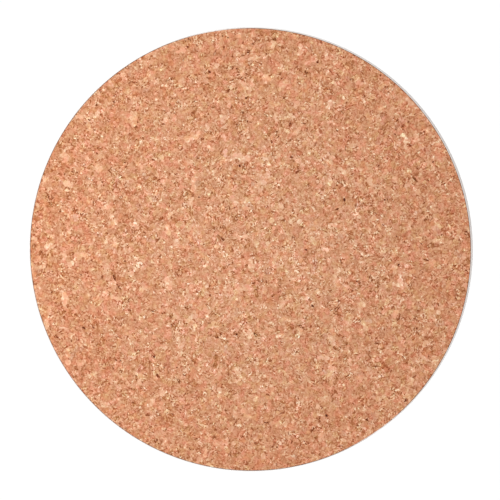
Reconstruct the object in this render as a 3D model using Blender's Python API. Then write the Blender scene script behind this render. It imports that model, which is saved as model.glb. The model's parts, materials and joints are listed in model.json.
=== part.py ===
"""Round cork bulletin board with a banded edge and a swinging D-ring hanger on its back.

The origin is the centre of the cork's front face, +Z is up and the cork faces -Y. The layers follow
one another towards +Y, so the place of a layer is its depth behind the cork's face. Units are metres.
"""

import math

import bmesh
import bpy
from mathutils import Matrix

# Sandwich: cork, softboard core and hardboard back
BOARD_DIAMETER = 0.400
CORK_THICKNESS = 0.004
CORE_THICKNESS = 0.009
BACK_THICKNESS = 0.0025
CORK_CHAMFER = 0.0004

# Edge band: a strip wrapped round the sandwich, its ends butted at the bottom
BAND_THICKNESS = 0.0005
BAND_SETBACK = 0.0002  # how far the strip stops short of the cork's face and of the back
BAND_SEAM = 0.0004

# Clearances
SEAT_GAP = 0.0003  # glue line or seat between two pieces
BAR_CLEARANCE = 0.00025  # round the ring's bar in the strap's knuckle, and under the hanging ring
CORNER_CLEARANCE = 0.0018  # from the knuckle's ends to the ring's rounded corners
BOW_CLEARANCE = 0.002  # from the ring's bow to the upper screw's head
WALL_CLEARANCE = 0.0009  # from the strap's knuckle to the wall that the bumpers rest on

# D-ring: its bar turns in the strap, and its bow goes over a wall hook
RING_EDGE_INSET = 0.045  # from the board's top edge down to the bar
RING_WIRE = 0.002
RING_WIDTH = 0.020  # between the middles of its legs
RING_DEPTH = 0.016  # from the middle of the bar to the middle of the bow
RING_CORNER = 0.0022

# Strap: a plate rolled into a knuckle round the bar
STRAP_THICKNESS = 0.0008
STRAP_END_MARGIN = 0.0055  # from the lower screw to the plate's end
STRAP_CORNER = 0.004
KNUCKLE_TURN = math.radians(290)

# Screws
SCREW_LENGTH = 0.010  # under the head
SCREW_SPACING = 0.011
SHANK_DIAMETER = 0.003
POINT_LENGTH = 0.0028
HEAD_DIAMETER = 0.0056
HEAD_HEIGHT = 0.0016
HEAD_ROUND = 0.0009
RECESS_SPAN = 0.0030
RECESS_WIDTH = 0.0008
RECESS_DEPTH = 0.0009

# Fixing block let into the core
BLOCK_WIDTH = 0.050
BLOCK_HEIGHT = 0.060

# Bumpers
BUMPER_DIAMETER = 0.012
BUMPER_ROUND = 0.0016
BUMPER_EDGE_INSET = 0.045  # from the board's edge in to the bumper's middle
BUMPER_COUNT = 4
FIRST_BUMPER_ANGLE = math.radians(45)

# Facets
BOARD_STEPS = 144
SMALL_STEPS = 28
ARC_STEPS = 5
BOW_STEPS = 20
MERGE_DISTANCE = 1e-6
SMOOTH_ANGLE = math.radians(35)

# Places that follow from the sizes above
LAYER_RADIUS = BOARD_DIAMETER / 2 - BAND_THICKNESS - SEAT_GAP
CORE_DEPTH = CORK_THICKNESS + SEAT_GAP
BACK_DEPTH = CORE_DEPTH + CORE_THICKNESS + SEAT_GAP
REAR_DEPTH = BACK_DEPTH + BACK_THICKNESS
KNUCKLE_INNER_RADIUS = RING_WIRE / 2 + BAR_CLEARANCE
KNUCKLE_OUTER_RADIUS = KNUCKLE_INNER_RADIUS + STRAP_THICKNESS
RING_AXIS_DEPTH = REAR_DEPTH + SEAT_GAP + KNUCKLE_OUTER_RADIUS
RING_AXIS_HEIGHT = BOARD_DIAMETER / 2 - RING_EDGE_INSET
STRAP_WIDTH = RING_WIDTH - 2 * (RING_CORNER + CORNER_CLEARANCE)
UPPER_SCREW_DROP = RING_DEPTH + RING_WIRE / 2 + BOW_CLEARANCE + HEAD_DIAMETER / 2
LOWER_SCREW_DROP = UPPER_SCREW_DROP + SCREW_SPACING
HEAD_DEPTH = REAR_DEPTH + SEAT_GAP + STRAP_THICKNESS + SEAT_GAP
BLOCK_MIDDLE = RING_AXIS_HEIGHT - (UPPER_SCREW_DROP + LOWER_SCREW_DROP) / 2
WALL_DEPTH = RING_AXIS_DEPTH + KNUCKLE_OUTER_RADIUS + WALL_CLEARANCE


def clear_scene():
    """Remove every object that the scene opened with."""
    for obj in list(bpy.data.objects):
        bpy.data.objects.remove(obj)


def make_material(name, colour, roughness, metallic=0.0):
    """A Principled material of one colour."""
    material = bpy.data.materials.new(name)
    material.use_nodes = True
    shader = material.node_tree.nodes["Principled BSDF"]
    shader.inputs["Base Color"].default_value = (*colour, 1.0)
    shader.inputs["Roughness"].default_value = roughness
    shader.inputs["Metallic"].default_value = metallic
    return material


def add_piece(name, bm, material, location=(0.0, 0.0, 0.0)):
    """Turn a bmesh into a smooth-shaded object with outward faces."""
    bmesh.ops.recalc_face_normals(bm, faces=bm.faces)
    mesh = bpy.data.meshes.new(name)
    bm.to_mesh(mesh)
    bm.free()
    mesh.shade_smooth()
    mesh.set_sharp_from_angle(angle=SMOOTH_ANGLE)
    mesh.materials.append(material)
    obj = bpy.data.objects.new(name, mesh)
    obj.location = location
    bpy.context.scene.collection.objects.link(obj)
    return obj


def add_cutter(name, bm, location=(0.0, 0.0, 0.0)):
    """An object that only cuts others, so it is left out of renders."""
    bmesh.ops.recalc_face_normals(bm, faces=bm.faces)
    mesh = bpy.data.meshes.new(name)
    bm.to_mesh(mesh)
    bm.free()
    cutter = bpy.data.objects.new(name, mesh)
    cutter.location = location
    cutter.hide_render = True
    cutter.display_type = "WIRE"
    bpy.context.scene.collection.objects.link(cutter)
    return cutter


def cut(obj, cutter):
    """Cut a shape out of a piece."""
    modifier = obj.modifiers.new(cutter.name, "BOOLEAN")
    modifier.operation = "DIFFERENCE"
    modifier.solver = "EXACT"
    modifier.object = cutter


def turned(profile, steps):
    """Spin a profile of (radius, depth) points, from one point on the Y axis to another, about Y."""
    bm = bmesh.new()
    points = [bm.verts.new((radius, depth, 0.0)) for radius, depth in profile]
    edges = [bm.edges.new(pair) for pair in zip(points, points[1:])]
    bmesh.ops.spin(
        bm,
        geom=points + edges,
        cent=(0.0, 0.0, 0.0),
        axis=(0.0, 1.0, 0.0),
        angle=2 * math.pi,
        steps=steps,
        use_merge=True,
    )
    bmesh.ops.remove_doubles(bm, verts=bm.verts, dist=MERGE_DISTANCE)
    return bm


def box(width, depth, height):
    """A box centred on its own origin."""
    bm = bmesh.new()
    bmesh.ops.create_cube(bm, size=1.0, matrix=Matrix.Diagonal((width, depth, height, 1.0)))
    return bm


def arc(centre, radius, start, turn, steps):
    """Points along an arc in a plane, both ends included."""
    angles = [start + turn * step / steps for step in range(steps + 1)]
    return [(centre[0] + radius * math.cos(a), centre[1] + radius * math.sin(a)) for a in angles]


def make_cork_face(material):
    """The cork sheet, its front arris eased, its face at depth 0."""
    profile = [
        (0.0, 0.0),
        (LAYER_RADIUS - CORK_CHAMFER, 0.0),
        (LAYER_RADIUS, CORK_CHAMFER),
        (LAYER_RADIUS, CORK_THICKNESS),
        (0.0, CORK_THICKNESS),
    ]
    add_piece("cork_face", turned(profile, BOARD_STEPS), material)


def make_core_board(material):
    """The softboard disc, with a pocket cut through it for the fixing block."""
    profile = [
        (0.0, CORE_DEPTH),
        (LAYER_RADIUS, CORE_DEPTH),
        (LAYER_RADIUS, CORE_DEPTH + CORE_THICKNESS),
        (0.0, CORE_DEPTH + CORE_THICKNESS),
    ]
    core = add_piece("core_board", turned(profile, BOARD_STEPS), material)
    pocket = box(BLOCK_WIDTH + 2 * SEAT_GAP, 2 * CORE_THICKNESS, BLOCK_HEIGHT + 2 * SEAT_GAP)
    middle = (0.0, CORE_DEPTH + CORE_THICKNESS / 2, BLOCK_MIDDLE)
    cut(core, add_cutter("block_pocket_cutter", pocket, middle))


def make_back_panel(material):
    """The hardboard disc that closes the back and carries the hanger and the bumpers."""
    profile = [
        (0.0, BACK_DEPTH),
        (LAYER_RADIUS, BACK_DEPTH),
        (LAYER_RADIUS, REAR_DEPTH),
        (0.0, REAR_DEPTH),
    ]
    return add_piece("back_panel", turned(profile, BOARD_STEPS), material)


def make_edge_band(material):
    """The strip round the edge: a flat section swept round, open by the seam at the bottom."""
    outer_radius = BOARD_DIAMETER / 2
    front, rear = BAND_SETBACK, REAR_DEPTH - BAND_SETBACK
    seam_turn = BAND_SEAM / outer_radius
    bm = bmesh.new()
    section = [
        bm.verts.new((radius, depth, 0.0))
        for radius, depth in (
            (outer_radius - BAND_THICKNESS, front),
            (outer_radius, front),
            (outer_radius, rear),
            (outer_radius - BAND_THICKNESS, rear),
        )
    ]
    bmesh.ops.spin(
        bm,
        geom=[bm.faces.new(section)],
        cent=(0.0, 0.0, 0.0),
        axis=(0.0, 1.0, 0.0),
        angle=2 * math.pi - seam_turn,
        steps=BOARD_STEPS,
        use_merge=False,
    )
    seam_to_bottom = Matrix.Rotation(math.pi / 2 + seam_turn / 2, 4, "Y")
    bmesh.ops.transform(bm, matrix=seam_to_bottom, verts=bm.verts)
    add_piece("edge_band", bm, material)


def make_fixing_block(material):
    """The block that fills the core's pocket and takes the screws."""
    middle = (0.0, CORE_DEPTH + CORE_THICKNESS / 2, BLOCK_MIDDLE)
    return add_piece("fixing_block", box(BLOCK_WIDTH, CORE_THICKNESS, BLOCK_HEIGHT), material, middle)


def make_hanger_strap(material):
    """The strap in side view, plate and knuckle in one outline, drawn out along X."""
    tail = RING_AXIS_HEIGHT - LOWER_SCREW_DROP - STRAP_END_MARGIN
    axis = (RING_AXIS_DEPTH, RING_AXIS_HEIGHT)
    plate_inner = REAR_DEPTH + SEAT_GAP
    outline = [(plate_inner, tail)]
    outline += arc(axis, KNUCKLE_OUTER_RADIUS, math.pi, -KNUCKLE_TURN, SMALL_STEPS)
    outline += arc(axis, KNUCKLE_INNER_RADIUS, math.pi - KNUCKLE_TURN, KNUCKLE_TURN, SMALL_STEPS)
    outline.append((plate_inner + STRAP_THICKNESS, tail))
    bm = bmesh.new()
    side = bm.faces.new([bm.verts.new((-STRAP_WIDTH / 2, y, z)) for y, z in outline])
    drawn = bmesh.ops.extrude_face_region(bm, geom=[side])["geom"]
    moved = [item for item in drawn if isinstance(item, bmesh.types.BMVert)]
    bmesh.ops.translate(bm, verts=moved, vec=(STRAP_WIDTH, 0.0, 0.0))
    corners = [
        edge
        for edge in bm.edges
        if all(abs(v.co.z - tail) < MERGE_DISTANCE for v in edge.verts)
        and abs(edge.verts[0].co.x - edge.verts[1].co.x) < MERGE_DISTANCE
    ]
    bmesh.ops.bevel(
        bm,
        geom=corners,
        affect="EDGES",
        offset=STRAP_CORNER,
        segments=ARC_STEPS,
        profile=0.5,
        material=-1,
    )
    return add_piece("hanger_strap", bm, material)


def make_hanger_ring(material):
    """The D-ring, hanging from its bar. Its object's origin is on the bar, where it turns."""
    leg = RING_WIDTH / 2
    bow_drop = RING_DEPTH - leg
    path = arc((leg - RING_CORNER, -RING_CORNER), RING_CORNER, math.pi / 2, -math.pi / 2, ARC_STEPS)
    path += arc((0.0, -bow_drop), leg, 0.0, -math.pi, BOW_STEPS)
    path += arc((RING_CORNER - leg, -RING_CORNER), RING_CORNER, math.pi, -math.pi / 2, ARC_STEPS)
    curve = bpy.data.curves.new("hanger_ring", "CURVE")
    curve.dimensions = "3D"
    curve.bevel_depth = RING_WIRE / 2
    curve.bevel_resolution = 4
    spline = curve.splines.new("POLY")
    spline.points.add(len(path) - 1)
    for point, (x, z) in zip(spline.points, path):
        point.co = (x, 0.0, z, 1.0)
    spline.use_cyclic_u = True
    curve.materials.append(material)
    ring = bpy.data.objects.new("hanger_ring", curve)
    ring.location = (0.0, RING_AXIS_DEPTH, RING_AXIS_HEIGHT)
    bpy.context.scene.collection.objects.link(ring)


def make_screw(name, drop, material):
    """A pan-head wood screw with a cross recess, driven towards the cork."""
    place = (0.0, HEAD_DEPTH, RING_AXIS_HEIGHT - drop)
    head, shank = HEAD_DIAMETER / 2, SHANK_DIAMETER / 2
    profile = [(0.0, -SCREW_LENGTH), (shank, POINT_LENGTH - SCREW_LENGTH), (shank, 0.0), (head, 0.0)]
    profile += arc((head - HEAD_ROUND, HEAD_HEIGHT - HEAD_ROUND), HEAD_ROUND, 0.0, math.pi / 2, ARC_STEPS)
    profile.append((0.0, HEAD_HEIGHT))
    screw = add_piece(name, turned(profile, SMALL_STEPS), material, place)
    head_top = (0.0, HEAD_DEPTH + HEAD_HEIGHT, place[2])
    for slot, size in {
        "across": (RECESS_SPAN, 2 * RECESS_DEPTH, RECESS_WIDTH),
        "upright": (RECESS_WIDTH, 2 * RECESS_DEPTH, RECESS_SPAN),
    }.items():
        cut(screw, add_cutter(f"{name}_{slot}_cutter", box(*size), head_top))


def make_screw_hole_cutter(name, drop):
    """A cutter with clearance all round a screw's shank, from under its head to past its point."""
    radius = SHANK_DIAMETER / 2 + SEAT_GAP
    start, end = -SCREW_LENGTH - SEAT_GAP, SEAT_GAP
    hole = turned([(0.0, start), (radius, start), (radius, end), (0.0, end)], SMALL_STEPS)
    return add_cutter(name, hole, (0.0, HEAD_DEPTH, RING_AXIS_HEIGHT - drop))


def make_bumper(name, angle, material):
    """A round rubber pad with a flat top, stuck to the back."""
    distance = BOARD_DIAMETER / 2 - BUMPER_EDGE_INSET
    radius, height = BUMPER_DIAMETER / 2, WALL_DEPTH - REAR_DEPTH - SEAT_GAP
    profile = [(0.0, 0.0), (radius, 0.0)]
    profile += arc((radius - BUMPER_ROUND, height - BUMPER_ROUND), BUMPER_ROUND, 0.0, math.pi / 2, ARC_STEPS)
    profile.append((0.0, height))
    place = (distance * math.cos(angle), REAR_DEPTH + SEAT_GAP, distance * math.sin(angle))
    add_piece(name, turned(profile, SMALL_STEPS), material, place)


def make_board():
    """Build the sandwich, its band, the hanger and the bumpers."""
    cork = make_material("cork", (0.60, 0.33, 0.18), 0.85)
    softboard = make_material("softboard", (0.52, 0.42, 0.30), 0.95)
    hardboard = make_material("hardboard", (0.25, 0.14, 0.08), 0.75)
    block_wood = make_material("block_wood", (0.70, 0.52, 0.32), 0.70)
    band_plastic = make_material("band_plastic", (0.82, 0.80, 0.78), 0.45)
    zinc_steel = make_material("zinc_steel", (0.62, 0.63, 0.65), 0.35, 1.0)
    bumper_rubber = make_material("bumper_rubber", (0.16, 0.16, 0.17), 0.60)

    make_cork_face(cork)
    make_core_board(softboard)
    back = make_back_panel(hardboard)
    make_edge_band(band_plastic)
    block = make_fixing_block(block_wood)
    strap = make_hanger_strap(zinc_steel)
    make_hanger_ring(zinc_steel)
    for place, drop in {"upper": UPPER_SCREW_DROP, "lower": LOWER_SCREW_DROP}.items():
        make_screw(f"hanger_screw_{place}", drop, zinc_steel)
        hole = make_screw_hole_cutter(f"{place}_screw_hole_cutter", drop)
        for drilled in (block, back, strap):
            cut(drilled, hole)
    for number in range(BUMPER_COUNT):
        angle = FIRST_BUMPER_ANGLE + 2 * math.pi * number / BUMPER_COUNT
        make_bumper(f"wall_bumper_{number + 1}", angle, bumper_rubber)


clear_scene()
make_board()
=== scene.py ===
"""Round cork pin board: its granule face, banded edge, hardboard back and swinging D-ring hanger.

The origin is the middle of the cork's front, the cork faces -Y, +Z is up, and the units are metres.
"""

import json
import logging
import math
import random
from dataclasses import dataclass
from enum import Enum

import bmesh
import bpy
from bmesh.types import BMEdge, BMesh, BMFace, BMLayerItem, BMVert
from bpy.types import Camera, ColorRamp, Light, Material, NodeSocket, NodeTree, Object
from mathutils import Matrix, Vector
from mathutils.geometry import delaunay_2d_cdt


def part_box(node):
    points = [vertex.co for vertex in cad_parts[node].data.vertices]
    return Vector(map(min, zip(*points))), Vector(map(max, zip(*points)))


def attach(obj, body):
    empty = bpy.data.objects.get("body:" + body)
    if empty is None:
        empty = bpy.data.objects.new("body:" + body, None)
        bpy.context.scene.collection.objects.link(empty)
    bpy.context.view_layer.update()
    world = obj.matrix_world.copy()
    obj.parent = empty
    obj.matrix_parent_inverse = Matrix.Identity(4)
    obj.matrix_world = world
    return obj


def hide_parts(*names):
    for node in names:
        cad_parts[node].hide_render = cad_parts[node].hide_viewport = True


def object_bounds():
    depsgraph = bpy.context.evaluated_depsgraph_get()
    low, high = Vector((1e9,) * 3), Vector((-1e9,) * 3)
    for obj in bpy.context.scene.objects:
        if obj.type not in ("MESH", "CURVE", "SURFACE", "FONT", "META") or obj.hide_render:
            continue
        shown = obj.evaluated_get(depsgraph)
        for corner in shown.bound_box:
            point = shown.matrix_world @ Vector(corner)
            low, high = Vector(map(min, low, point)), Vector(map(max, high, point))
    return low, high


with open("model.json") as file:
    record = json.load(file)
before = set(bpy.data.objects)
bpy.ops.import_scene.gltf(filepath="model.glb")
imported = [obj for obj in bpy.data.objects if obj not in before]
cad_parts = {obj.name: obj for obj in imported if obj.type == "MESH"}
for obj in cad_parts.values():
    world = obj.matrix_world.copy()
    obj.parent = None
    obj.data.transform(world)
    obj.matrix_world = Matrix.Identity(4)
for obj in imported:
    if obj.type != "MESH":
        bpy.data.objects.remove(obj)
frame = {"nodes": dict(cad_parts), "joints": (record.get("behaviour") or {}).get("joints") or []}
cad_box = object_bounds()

log = logging.getLogger("pin_board")

Triple = tuple[float, float, float]
Colour = Triple
Limits = tuple[float, float]
Number = "float | Value"

MM = 0.001
WELD = 1e-6
FULL_TURN = 2 * math.pi
HALF_TURN = math.pi
QUARTER_TURN = math.pi / 2
MIDDLE = 0.5
EVEN = (1.0, 1.0, 1.0)
ORIGIN = (0.0, 0.0, 0.0)
DEPTH_AXIS = (0.0, 1.0, 0.0)
TO_FRONT = Vector((0.0, -1.0, 0.0))
FLAT = Matrix.Identity(4)
UPRIGHT = Matrix.Rotation(QUARTER_TURN, 4, "X")
SHARP_ANGLE = 1.0


class Body(Enum):
    """The rigid groups that a piece can ride on."""

    BOARD = "board"
    RING = "ring"


class Slot(Enum):
    """The finishes of the new pieces, as the parts list names them."""

    CORK = "cork"
    HARDBOARD = "hardboard"
    BAND = "band_plastic"
    STEEL = "zinc_steel"
    RUBBER = "bumper_rubber"


class Blend(Enum):
    """The ways of laying one colour over another."""

    COVER = "MIX"
    # Multiplying lays stains and tints, and also painted shade: the cork's darker rim and the hardboard's
    # darker screen dimples.
    STAIN_AND_SHADE = "MULTIPLY"


class Joining(Enum):
    """The ways of making one shape from two."""

    ADD = "UNION"
    CUT = "DIFFERENCE"


class Rounding(Enum):
    """What a bevel rounds."""

    EDGES = "EDGES"
    CORNERS = "VERTICES"


def tint(red: float, green: float, blue: float) -> Colour:
    """Turn a colour as a paint card gives it into the linear values of a shader.

    Args:
        red: Red from 0 to 255.
        green: Green from 0 to 255.
        blue: Blue from 0 to 255.

    Returns:
        The three linear values, from 0 to 1.
    """

    def linear(value: float) -> float:
        """Undo the display curve for one value."""
        share = value / 255
        return share / 12.92 if share <= 0.04045 else ((share + 0.055) / 1.055) ** 2.4

    return linear(red), linear(green), linear(blue)


# ---------------------------------------------------------------- shader language


class Value:
    """One output of a node. On numbers, Python's own operators add the Math nodes."""

    def __init__(self, nodes: "Nodes", socket: NodeSocket) -> None:
        """Wrap the output."""
        self.nodes = nodes
        self.socket = socket

    def __add__(self, other: Number) -> "Value":
        """Sum."""
        return self.nodes.math("ADD", self, other)

    def __radd__(self, other: Number) -> "Value":
        """Sum, the other way round."""
        return self.nodes.math("ADD", other, self)

    def __sub__(self, other: Number) -> "Value":
        """Difference."""
        return self.nodes.math("SUBTRACT", self, other)

    def __rsub__(self, other: Number) -> "Value":
        """Difference, the other way round."""
        return self.nodes.math("SUBTRACT", other, self)

    def __mul__(self, other: Number) -> "Value":
        """Product."""
        return self.nodes.math("MULTIPLY", self, other)

    def __rmul__(self, other: Number) -> "Value":
        """Product, the other way round."""
        return self.nodes.math("MULTIPLY", other, self)


@dataclass(frozen=True)
class Grain:
    """A random pattern.

    Attributes:
        size: The size of its blotches or cells.
        factors: What each axis of the point is multiplied by, which draws the pattern out.
        detail: How many finer layers lie over the first.
        rough: How strong the finer layers are.
    """

    size: float
    factors: Triple = EVEN
    detail: float = 3.0
    rough: float = 0.55


@dataclass(frozen=True)
class Wash:
    """A colour laid over others where a pattern calls for it.

    Attributes:
        low: The pattern's value where it starts.
        high: The value where it is full.
        colour: The colour.
        share: The greatest share that it takes.
        blend: How it is laid.
    """

    low: float
    high: float
    colour: Colour
    share: float = 1.0
    blend: Blend = Blend.COVER


class Nodes:
    """The nodes of one tree, made call by call."""

    def __init__(self, tree: NodeTree) -> None:
        """Start on a tree."""
        self.tree = tree

    def feed(self, target: NodeSocket, source: object) -> None:
        """Link a socket to a value, or set it where the source is plain.

        Args:
            target: The socket.
            source: A value, a number, a colour or a vector.
        """
        if isinstance(source, Value):
            self.tree.links.new(source.socket, target)
        elif isinstance(source, tuple) and target.type == "RGBA":
            target.default_value = (*source, 1.0)
        else:
            target.default_value = source

    def node(self, kind: str, settings: dict, inputs: dict, output: str | int = 0) -> Value:
        """Make any node.

        Args:
            kind: The node's type.
            settings: Its properties, which are set first; "stops" are a ramp's (place, colour) pairs.
            inputs: The values or links of its sockets, by name or number.
            output: The output that is wanted.

        Returns:
            That output as a value.
        """
        node = self.tree.nodes.new(kind)
        for name, setting in settings.items():
            if name == "stops":
                self.set_stops(node.color_ramp, setting)
            else:
                setattr(node, name, setting)
        for name, source in inputs.items():
            self.feed(node.inputs[name], source)
        return Value(self, node.outputs[output])

    @staticmethod
    def set_stops(ramp: ColorRamp, stops: list[tuple[float, Colour]]) -> None:
        """Give a colour ramp its stops.

        Args:
            ramp: The ramp.
            stops: A place from nought to one and a colour for each, in order.
        """
        while len(ramp.elements) > 1:
            ramp.elements.remove(ramp.elements[-1])
        ramp.elements[0].position = stops[0][0]
        ramp.elements[0].color = (*stops[0][1], 1.0)
        for place, colour in stops[1:]:
            ramp.elements.new(place).color = (*colour, 1.0)

    def math(self, operation: str, first: Number, second: Number = 0.0) -> Value:
        """One Math node."""
        return self.node("ShaderNodeMath", {"operation": operation}, {0: first, 1: second})


class Shader(Nodes):
    """The nodes of one material."""

    def __init__(self, name: str) -> None:
        """Start a material that holds a Principled BSDF.

        Args:
            name: The material's name.
        """
        self.material = bpy.data.materials.new(name)
        self.material.use_nodes = True
        super().__init__(self.material.node_tree)

    def place(self) -> Value:
        """The point on the piece, in metres in its own frame."""
        return self.node("ShaderNodeTexCoord", {}, {}, "Object")

    def attribute(self, name: str, output: str) -> Value:
        """What the mesh itself holds under a name: its "Color", or the "Alpha" beside it."""
        return self.node("ShaderNodeAttribute", {"attribute_name": name}, {}, output)

    def parts(self, vector: Value) -> tuple[Value, ...]:
        """The three numbers of a vector or a colour."""
        first = self.node("ShaderNodeSeparateXYZ", {}, {0: vector})
        return tuple(Value(self, output) for output in first.socket.node.outputs)

    def smooth(self, value: Value, low: float, high: float) -> Value:
        """Ease a value's slope between two limits.

        Args:
            value: The value.
            low: Where the result is nought.
            high: Where it is one, which may be the smaller.

        Returns:
            A value of nought to one.
        """
        settings = {"interpolation_type": "SMOOTHSTEP", "clamp": True}
        inputs = {"Value": value, "From Min": low, "From Max": high, "To Min": 0.0, "To Max": 1.0}
        return self.node("ShaderNodeMapRange", settings, inputs)

    def spread(self, value: Value, low: float, high: float) -> Value:
        """A value of nought to one, spread between two others."""
        return value * (high - low) + low

    def stretched(self, point: Value, factors: Triple) -> Value:
        """A point with each axis multiplied by its factor."""
        return self.node("ShaderNodeVectorMath", {"operation": "MULTIPLY"}, {0: point, 1: factors})

    def warped(self, point: Value, size: float, reach: float) -> Value:
        """Push a point about by noise, so that what it draws gets an uneven outline.

        Args:
            point: The point.
            size: The size of the noise's blotches.
            reach: How far it pushes.

        Returns:
            The new point.
        """
        push = self.noise(point, Grain(size, detail=1.0, rough=0.5), "Color")
        inputs = {0: push, 1: (reach, reach, reach), 2: point}
        return self.node("ShaderNodeVectorMath", {"operation": "MULTIPLY_ADD"}, inputs)

    def noise(self, point: Value, grain: Grain, output: str = "Fac") -> Value:
        """Soft noise, which runs round the middle.

        Args:
            point: Where it is read.
            grain: Its size and its character.
            output: "Fac" for one number, or "Color" for three of them.

        Returns:
            The noise.
        """
        inputs = {
            "Vector": self.stretched(point, grain.factors),
            "Scale": 1 / grain.size,
            "Detail": grain.detail,
            "Roughness": grain.rough,
        }
        return self.node("ShaderNodeTexNoise", {"noise_dimensions": "3D"}, inputs, output)

    def cells(self, point: Value, grain: Grain, output: str = "Color") -> Value:
        """A mosaic of random cells.

        Args:
            point: Where it is read.
            grain: The cells' size and their factors.
            output: "Color" for three random numbers in each cell, or "Distance" for that to its middle.

        Returns:
            The mosaic.
        """
        settings = {"voronoi_dimensions": "3D", "feature": "F1"}
        inputs = {
            "Vector": self.stretched(point, grain.factors),
            "Scale": 1 / grain.size,
            "Randomness": 1.0,
        }
        return self.node("ShaderNodeTexVoronoi", settings, inputs, output)

    def mix(self, share: Number, first: object, second: object, blend: Blend = Blend.COVER) -> Value:
        """A colour with another laid over it, by a share."""
        settings = {"data_type": "RGBA", "blend_type": blend.value, "clamp_factor": True}
        return self.node("ShaderNodeMix", settings, {0: share, 6: first, 7: second}, 2)

    def share_of(self, pattern: Value, wash: Wash) -> Value:
        """How much of a wash a pattern calls for."""
        return self.smooth(pattern, wash.low, wash.high) * wash.share

    def washed(self, base: object, pattern: Value, wash: Wash) -> Value:
        """A colour with a wash over it."""
        return self.mix(self.share_of(pattern, wash), base, wash.colour, wash.blend)

    def bump(self, height: Value, depth: float, strength: float = 1.0) -> Value:
        """Normals for a relief whose height runs from nought to one over the given depth."""
        inputs = {"Height": height, "Distance": depth, "Strength": strength}
        return self.node("ShaderNodeBump", {}, inputs, "Normal")

    def dress(self, **sockets: object) -> Material:
        """Feed the Principled BSDF, with underscores for the spaces of its sockets' names.

        Args:
            sockets: A value, number or colour for each socket.

        Returns:
            The finished material.
        """
        surface = self.tree.nodes["Principled BSDF"]
        for name, source in sockets.items():
            self.feed(surface.inputs[name.replace("_", " ")], source)
        return self.material


def swing(pattern: Value, weight: float) -> Value:
    """A pattern round the middle as a change round nought."""
    return (pattern - MIDDLE) * weight


# ---------------------------------------------------------------- cork finish


@dataclass(frozen=True)
class Marks:
    """Marks that some cells of a mosaic carry, each with its own strength.

    Attributes:
        none: The cell's number at which there is no mark.
        full: The number at which the mark is whole.
        faintest: The strength of the faintest.
        weight: How much a full mark changes the tone.
    """

    none: float
    full: float
    faintest: float
    weight: float

    def draw(self, shader: Shader, odds: Value, strength: Value) -> Value:
        """Nought where there is no mark, up to one where it is strongest."""
        return shader.smooth(odds, self.none, self.full) * shader.spread(strength, self.faintest, 1.0)


@dataclass(frozen=True)
class Dots:
    """Small marks in the middles of a mosaic's cells.

    Attributes:
        grain: The mosaic.
        bare: The share of the cells that hold none.
        growth: The reach of the largest, as a share of its cell.
        edge: The width of their soft edge.
        faintest: The strength of the faintest.
        weight: How much a full mark changes the tone.
    """

    grain: Grain
    bare: float
    growth: float
    edge: float
    faintest: float
    weight: float

    def draw(self, shader: Shader, point: Value) -> Value:
        """Draw the marks.

        Args:
            shader: The shader that they belong to.
            point: Where they are read.

        Returns:
            Nought where there is no mark, up to one where it is strongest.
        """
        odds, strength, _ = shader.parts(shader.cells(point, self.grain))
        inside = (odds - self.bare) * self.growth - shader.cells(point, self.grain, "Distance")
        return shader.smooth(inside, 0.0, self.edge) * shader.spread(strength, self.faintest, 1.0)


ALONG_GRAIN = (1.0, 1.0, 0.5)


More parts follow.
